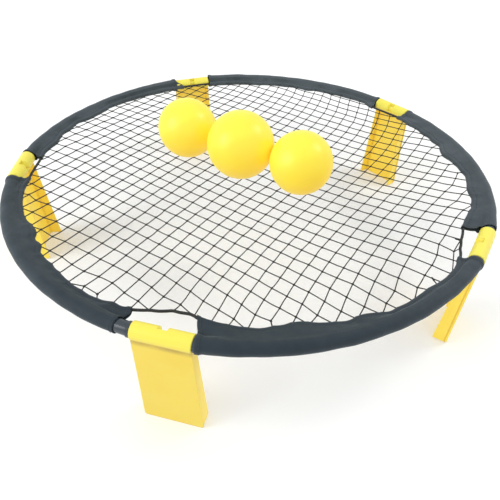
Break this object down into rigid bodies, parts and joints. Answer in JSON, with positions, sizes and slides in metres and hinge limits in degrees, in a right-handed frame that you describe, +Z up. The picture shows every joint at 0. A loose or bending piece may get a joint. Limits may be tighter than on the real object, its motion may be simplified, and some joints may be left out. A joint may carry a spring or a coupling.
{
  "type": "roundnet set",
  "caption": "Round knotted net held taut in a ring of plugged tubes on folding channel legs, with smooth balls lying on the net.",
  "frame": {"origin": "on the ground under the middle of the ring", "axes": "+Z up, leg 1 on -Y, the other legs every 72 degrees counter-clockwise seen from above"},
  "size_m": [0.9124, 0.9119, 0.3171],
  "materials": {
    "rim_plastic": "gloss black moulded tube",
    "leg_plastic": "satin yellow moulded plastic",
    "sleeve_fabric": "slate-grey woven polyester",
    "net_cord": "black braided cord",
    "border_cord": "black braided cord",
    "ball_rubber": "smooth satin yellow",
    "valve_rubber": "black rubber plug"
  },
  "bodies": {
    "ring": {"rim_tube_1": "rim_plastic", "rim_tube_2": "rim_plastic", "rim_tube_3": "rim_plastic", "rim_tube_4": "rim_plastic", "rim_tube_5": "rim_plastic", "net_sleeve_1": "sleeve_fabric", "net_sleeve_2": "sleeve_fabric", "net_sleeve_3": "sleeve_fabric", "net_sleeve_4": "sleeve_fabric", "net_sleeve_5": "sleeve_fabric", "net_mesh": "net_cord", "net_border_cord": "border_cord"},
    "leg_body_1": {"leg_1": "leg_plastic"},
    "leg_body_2": {"leg_2": "leg_plastic"},
    "leg_body_3": {"leg_3": "leg_plastic"},
    "leg_body_4": {"leg_4": "leg_plastic"},
    "leg_body_5": {"leg_5": "leg_plastic"},
    "ball_body_1": {"ball_1": "ball_rubber", "ball_valve_1": "valve_rubber"},
    "ball_body_2": {"ball_2": "ball_rubber", "ball_valve_2": "valve_rubber"},
    "ball_body_3": {"ball_3": "ball_rubber", "ball_valve_3": "valve_rubber"}
  },
  "joints": [
    {"name": "leg_1_swivel", "type": "hinge", "parent": "ring", "child": "leg_body_1", "pos_m": [0, -0.44267, 0.192], "axis": [-1, 0, 0], "range_deg": [-45, 90]},
    {"name": "leg_2_swivel", "type": "hinge", "parent": "ring", "child": "leg_body_2", "pos_m": [0.421, -0.13679, 0.192], "axis": [-0.309, -0.9511, 0], "range_deg": [-45, 90]},
    {"name": "leg_3_swivel", "type": "hinge", "parent": "ring", "child": "leg_body_3", "pos_m": [0.26019, 0.35813, 0.192], "axis": [0.809, -0.5878, 0], "range_deg": [-45, 90]},
    {"name": "leg_4_swivel", "type": "hinge", "parent": "ring", "child": "leg_body_4", "pos_m": [-0.26019, 0.35813, 0.192], "axis": [0.809, 0.5878, 0], "range_deg": [-45, 90]},
    {"name": "leg_5_swivel", "type": "hinge", "parent": "ring", "child": "leg_body_5", "pos_m": [-0.421, -0.13679, 0.192], "axis": [-0.309, 0.9511, 0], "range_deg": [-45, 90]},
    {"name": "ball_1_lift", "type": "slide", "parent": "ring", "child": "ball_body_1", "axis": [0, 0, 1], "range_m": [0, 0.3]},
    {"name": "ball_2_lift", "type": "slide", "parent": "ring", "child": "ball_body_2", "axis": [0, 0, 1], "range_m": [0, 0.3]},
    {"name": "ball_3_lift", "type": "slide", "parent": "ring", "child": "ball_body_3", "axis": [0, 0, 1], "range_m": [0, 0.3]}
  ]
}
